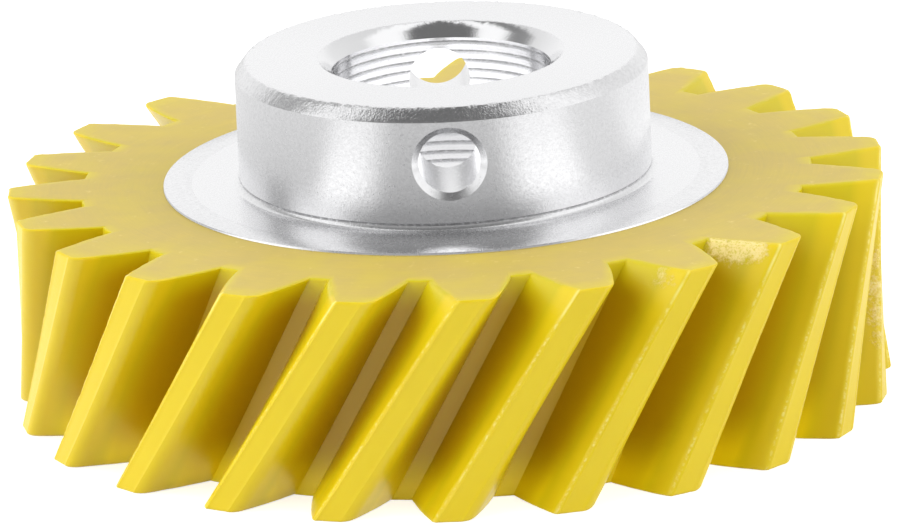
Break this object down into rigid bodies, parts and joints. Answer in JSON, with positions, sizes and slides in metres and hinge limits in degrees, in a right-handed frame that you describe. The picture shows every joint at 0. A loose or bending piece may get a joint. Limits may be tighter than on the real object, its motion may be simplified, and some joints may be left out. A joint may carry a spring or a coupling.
{
  "type": "mixer gear",
  "caption": "Worm follower gear of a stand mixer: a plastic rim with right-hand helical teeth on a turned aluminium hub with a bore and a cross hole for a retaining pin.",
  "frame": {"origin": "centre of the bore at the flat underside", "axes": "+Z along the bore axis, from the underside to the top of the boss; the cross hole for the pin runs along Y"},
  "size_m": [0.06, 0.06, 0.0239],
  "materials": {
    "turned_aluminium": "turned, bright, with fine lathe lines",
    "yellow_plastic": "semi-gloss on the teeth, faced flat on the upper side"
  },
  "bodies": {
    "root": {"hub": "turned_aluminium", "toothed_rim": "yellow_plastic"}
  },
  "joints": []
}
